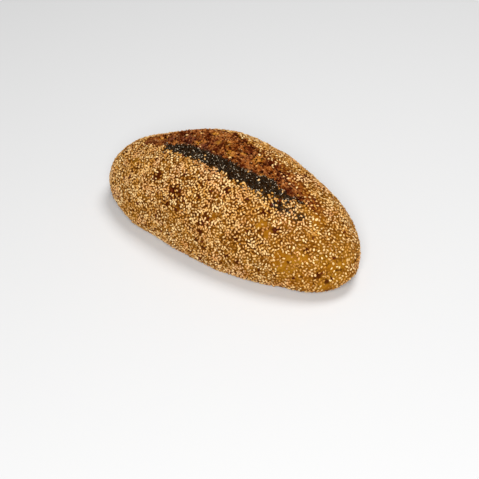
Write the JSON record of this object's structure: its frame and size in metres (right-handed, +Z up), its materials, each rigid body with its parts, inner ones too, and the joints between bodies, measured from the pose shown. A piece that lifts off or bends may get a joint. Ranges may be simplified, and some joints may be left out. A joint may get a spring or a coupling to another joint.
{
  "type": "vienna loaf",
  "caption": "Oval crusty vienna loaf, seeded all over, with one lengthwise slash torn open along its crown and a dark poppy seed band beside it.",
  "frame": {"origin": "bottom centre of the loaf's bounding box, on the surface that it rests on", "axes": "+X along the loaf towards its narrower end, +Y across it towards the flank behind the torn opening, +Z up"},
  "size_m": [0.27, 0.132, 0.0873],
  "materials": {
    "crust": "baked crust, dry and slightly rough",
    "sesame_seed": "toasted hulled sesame, faint sheen",
    "dark_seed": "brown linseed, faint sheen",
    "poppy_seed": "blue-black poppy seed, matte"
  },
  "bodies": {
    "root": {"loaf": "crust"}
  },
  "joints": []
}
